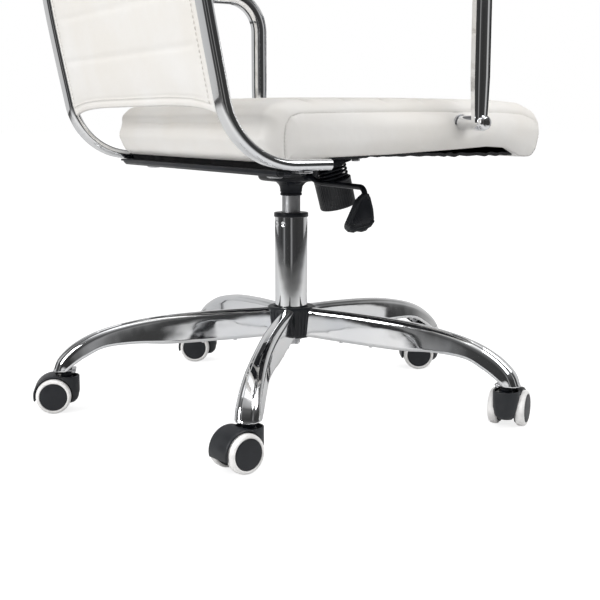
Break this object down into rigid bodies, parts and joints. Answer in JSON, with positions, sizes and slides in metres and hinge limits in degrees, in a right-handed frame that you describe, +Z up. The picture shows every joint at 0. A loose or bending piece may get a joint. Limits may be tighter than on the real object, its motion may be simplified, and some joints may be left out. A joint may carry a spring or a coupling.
{
  "type": "swivel office chair",
  "caption": "Swivel office chair with a chromed star base on twin-wheel castors, gas lift, tilt mechanism with lever and tension knob, padded seat and back between side rails, and armrests.",
  "frame": {"origin": "on the floor, under the middle of the whole chair's box; the swivel axis is 32 mm towards -X and 16 mm towards -Y of it", "axes": "+Z up, -Y the way the sitter faces, -X the sitter's right"},
  "size_m": [0.7253, 0.7513, 1.084],
  "materials": {
    "chrome": "polished",
    "zinc_steel": "satin",
    "black_steel": "satin",
    "black_plastic": "satin",
    "pale_tread": "satin",
    "white_leather": "satin",
    "plywood": "matte",
    "dust_fabric": "matte"
  },
  "bodies": {
    "base": {"leg_1": "chrome", "leg_2": "chrome", "leg_3": "chrome", "leg_4": "chrome", "leg_5": "chrome", "base_hub": "black_plastic", "column_tube": "chrome", "guide_bush": "black_plastic", "thrust_bearing": "zinc_steel"},
    "castor_1": {"castor_stem_1": "zinc_steel", "castor_hood_1": "black_plastic", "castor_axle_1": "zinc_steel"},
    "wheel_1a": {"castor_wheel_1a": "pale_tread"},
    "wheel_1b": {"castor_wheel_1b": "pale_tread"},
    "castor_2": {"castor_stem_2": "zinc_steel", "castor_hood_2": "black_plastic", "castor_axle_2": "zinc_steel"},
    "wheel_2a": {"castor_wheel_2a": "pale_tread"},
    "wheel_2b": {"castor_wheel_2b": "pale_tread"},
    "castor_3": {"castor_stem_3": "zinc_steel", "castor_hood_3": "black_plastic", "castor_axle_3": "zinc_steel"},
    "wheel_3a": {"castor_wheel_3a": "pale_tread"},
    "wheel_3b": {"castor_wheel_3b": "pale_tread"},
    "castor_4": {"castor_stem_4": "zinc_steel", "castor_hood_4": "black_plastic", "castor_axle_4": "zinc_steel"},
    "wheel_4a": {"castor_wheel_4a": "pale_tread"},
    "wheel_4b": {"castor_wheel_4b": "pale_tread"},
    "castor_5": {"castor_stem_5": "zinc_steel", "castor_hood_5": "black_plastic", "castor_axle_5": "zinc_steel"},
    "wheel_5a": {"castor_wheel_5a": "pale_tread"},
    "wheel_5b": {"castor_wheel_5b": "pale_tread"},
    "spindle": {"piston_rod": "zinc_steel", "bottom_clip": "zinc_steel"},
    "lift": {"gas_cylinder": "zinc_steel", "mech_housing": "black_steel", "tilt_axle": "zinc_steel", "tension_spring": "black_steel"},
    "release_button": {"release_button": "zinc_steel"},
    "lever_rocker": {"lever_rocker": "black_steel"},
    "lever": {"lever_rod": "black_steel", "lever_paddle": "black_plastic"},
    "seat": {"seat_plate": "black_steel", "seat_board": "plywood", "dust_cover": "dust_fabric", "seat_cushion": "white_leather", "crossbar": "black_steel", "rail_right": "chrome", "rail_left": "chrome", "back_cushion": "white_leather", "back_brace_lower": "chrome", "back_brace_upper": "chrome", "arm_tube_right": "chrome", "arm_pad_right": "white_leather", "arm_tube_left": "chrome", "arm_pad_left": "white_leather", "tension_bolt": "zinc_steel"},
    "tension_knob": {"tension_knob": "black_plastic"}
  },
  "joints": [
    {"name": "castor_swivel_1", "type": "hinge", "parent": "base", "child": "castor_1", "pos_m": [0.09352, 0.30677, 0.06], "axis": [0, 0, 1], "continuous": true},
    {"name": "wheel_spin_1a", "type": "hinge", "parent": "castor_1", "child": "wheel_1a", "pos_m": [0.10064, 0.32439, 0.02624], "axis": [-0.9272, 0.3746, 0], "continuous": true},
    {"name": "wheel_spin_1b", "type": "hinge", "parent": "castor_1", "child": "wheel_1b", "pos_m": [0.10064, 0.32439, 0.02624], "axis": [-0.9272, 0.3746, 0], "continuous": true},
    {"name": "castor_swivel_2", "type": "hinge", "parent": "base", "child": "castor_2", "pos_m": [-0.3005, 0.20119, 0.06], "axis": [0, 0, 1], "continuous": true},
    {"name": "wheel_spin_2a", "type": "hinge", "parent": "castor_2", "child": "wheel_2a", "pos_m": [-0.30315, 0.22001, 0.02624], "axis": [-0.9903, -0.1392, 0], "continuous": true},
    {"name": "wheel_spin_2b", "type": "hinge", "parent": "castor_2", "child": "wheel_2b", "pos_m": [-0.30315, 0.22001, 0.02624], "axis": [-0.9903, -0.1392, 0], "continuous": true},
    {"name": "castor_swivel_3", "type": "hinge", "parent": "base", "child": "castor_3", "pos_m": [-0.32185, -0.20617, 0.06], "axis": [0, 0, 1], "continuous": true},
    {"name": "wheel_spin_3a", "type": "hinge", "parent": "castor_3", "child": "wheel_3a", "pos_m": [-0.31068, -0.22154, 0.02624], "axis": [0.809, 0.5878, 0], "continuous": true},
    {"name": "wheel_spin_3b", "type": "hinge", "parent": "castor_3", "child": "wheel_3b", "pos_m": [-0.31068, -0.22154, 0.02624], "axis": [0.809, 0.5878, 0], "continuous": true},
    {"name": "castor_swivel_4", "type": "hinge", "parent": "base", "child": "castor_4", "pos_m": [0.05898, -0.35236, 0.06], "axis": [0, 0, 1], "continuous": true},
    {"name": "wheel_spin_4a", "type": "hinge", "parent": "castor_4", "child": "wheel_4a", "pos_m": [0.06819, -0.33574, 0.02624], "axis": [-0.8746, 0.4848, 0], "continuous": true},
    {"name": "wheel_spin_4b", "type": "hinge", "parent": "castor_4", "child": "wheel_4b", "pos_m": [0.06819, -0.33574, 0.02624], "axis": [-0.8746, 0.4848, 0], "continuous": true},
    {"name": "castor_swivel_5", "type": "hinge", "parent": "base", "child": "castor_5", "pos_m": [0.31569, -0.03534, 0.06], "axis": [0, 0, 1], "continuous": true},
    {"name": "wheel_spin_5a", "type": "hinge", "parent": "castor_5", "child": "wheel_5a", "pos_m": [0.32576, -0.01923, 0.02624], "axis": [-0.848, 0.5299, 0], "continuous": true},
    {"name": "wheel_spin_5b", "type": "hinge", "parent": "castor_5", "child": "wheel_5b", "pos_m": [0.32576, -0.01923, 0.02624], "axis": [-0.848, 0.5299, 0], "continuous": true},
    {"name": "seat_swivel", "type": "hinge", "parent": "base", "child": "spindle", "pos_m": [-0.03083, -0.01718, 0.11], "axis": [0, 0, 1], "continuous": true},
    {"name": "seat_height", "type": "slide", "parent": "spindle", "child": "lift", "axis": [0, 0, 1], "range_m": [0, 0.1]},
    {"name": "button_travel", "type": "slide", "parent": "lift", "child": "release_button", "axis": [0, 0, 1], "range_m": [-0.0035, 0], "stiffness_N_per_m": 2000, "springref_m": 0.001},
    {"name": "lever_lift", "type": "hinge", "parent": "lift", "child": "lever_rocker", "pos_m": [-0.06683, -0.02218, 0.354], "axis": [0, 1, 0], "range_deg": [0, 5]},
    {"name": "tilt_lock_pull", "type": "slide", "parent": "lever_rocker", "child": "lever", "axis": [-1, 0, 0], "range_m": [0, 0.012]},
    {"name": "seat_tilt", "type": "hinge", "parent": "lift", "child": "seat", "pos_m": [-0.03083, 0.00282, 0.366], "axis": [-1, 0, 0], "range_deg": [0, 10], "stiffness_Nm_per_rad": 170, "springref_deg": -14.32, "deforming": ["tension_spring"]},
    {"name": "tension_turn", "type": "hinge", "parent": "seat", "child": "tension_knob", "pos_m": [-0.03083, -0.09738, 0.325], "axis": [0, 0.2588, 0.9659], "range_deg": [-720, 720]}
  ],
  "couplings": [
    {"joint": "button_travel", "follows": "lever_lift", "m_per_rad": -0.04}
  ]
}
